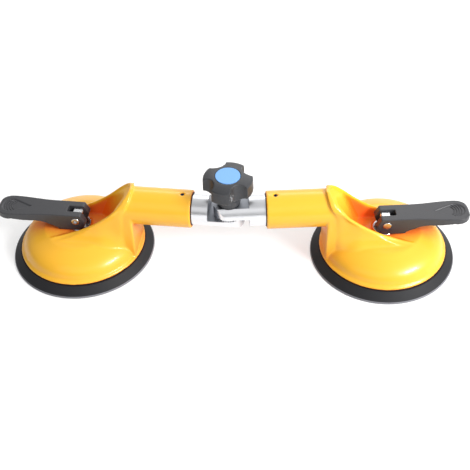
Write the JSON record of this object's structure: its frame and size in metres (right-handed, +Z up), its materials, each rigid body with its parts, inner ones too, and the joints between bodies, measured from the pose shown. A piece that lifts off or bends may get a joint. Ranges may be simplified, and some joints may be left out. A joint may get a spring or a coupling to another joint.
{
  "type": "floor tile suction lifter",
  "caption": "Two suction heads on tubes joined by a toothed angle joint with a star knob; cam levers raise the rubber pads to grip a flat tile.",
  "frame": {"origin": "on the floor, midway between the two suction pads", "axes": "+X along the lifter, +Y away from the side the joint is bent to, +Z up"},
  "size_m": [0.3898, 0.12, 0.0904],
  "materials": {
    "yellow_paint": "gloss powder coat on an aluminium casting",
    "pad_rubber": "moulded matt rubber",
    "zinc_steel": "bright zinc plate",
    "black_steel": "black oxide",
    "machined_aluminium": "turned and milled",
    "lever_plastic": "moulded, fine texture",
    "knob_plastic": "moulded, fine texture",
    "insert_brass": "turned",
    "blue_plastic": "moulded"
  },
  "bodies": {
    "left_arm": {"left_head_body": "yellow_paint", "left_spigot": "machined_aluminium", "left_set_screw": "black_steel", "left_wear_washer": "zinc_steel", "clamp_bolt": "zinc_steel"},
    "right_arm": {"right_head_body": "yellow_paint", "right_spigot": "machined_aluminium", "right_set_screw": "black_steel", "right_wear_washer": "zinc_steel"},
    "clamp_washer_body": {"clamp_washer": "black_steel"},
    "knob_body": {"knob": "knob_plastic", "knob_insert": "insert_brass", "knob_cap": "blue_plastic"},
    "left_stud_body": {"left_pad_stud": "zinc_steel", "left_pad_plate": "zinc_steel", "left_suction_pad": "pad_rubber"},
    "left_lever_body": {"left_lever": "lever_plastic", "left_lever_pin": "zinc_steel"},
    "right_stud_body": {"right_pad_stud": "zinc_steel", "right_pad_plate": "zinc_steel", "right_suction_pad": "pad_rubber"},
    "right_lever_body": {"right_lever": "lever_plastic", "right_lever_pin": "zinc_steel"}
  },
  "joints": [
    {"name": "arm_swivel", "type": "hinge", "parent": "left_arm", "child": "right_arm", "pos_m": [0, -0.00997, 0.053], "axis": [0, 0, 1], "range_deg": [-99, 81]},
    {"name": "left_stud_slide", "type": "slide", "parent": "left_arm", "child": "left_stud_body", "axis": [0, 0, 1], "range_m": [-0.0015, 0], "deforming": ["left_suction_pad"]},
    {"name": "left_lever_turn", "type": "hinge", "parent": "left_stud_body", "child": "left_lever_body", "pos_m": [-0.12671, 0, 0.0383], "axis": [0.0785, 0.9969, 0], "range_deg": [0, 90]},
    {"name": "right_stud_slide", "type": "slide", "parent": "right_arm", "child": "right_stud_body", "axis": [0, 0, 1], "range_m": [-0.0015, 0], "deforming": ["right_suction_pad"]},
    {"name": "right_lever_turn", "type": "hinge", "parent": "right_stud_body", "child": "right_lever_body", "pos_m": [0.12671, 0, 0.0383], "axis": [0.0785, -0.9969, 0], "range_deg": [0, 90]},
    {"name": "knob_turn", "type": "hinge", "parent": "left_arm", "child": "clamp_washer_body", "pos_m": [0, -0.00997, 0.0633], "axis": [0, 0, 1], "range_deg": [0, 360]},
    {"name": "knob_lift", "type": "slide", "parent": "clamp_washer_body", "child": "knob_body", "axis": [0, 0, 1], "range_m": [0, 0.00126]}
  ],
  "couplings": [
    {"joint": "left_lever_turn", "follows": "left_stud_slide", "rad_per_m": -1047.2},
    {"joint": "right_lever_turn", "follows": "right_stud_slide", "rad_per_m": -1047.2},
    {"joint": "knob_lift", "follows": "knob_turn", "m_per_rad": 0.00019894}
  ]
}
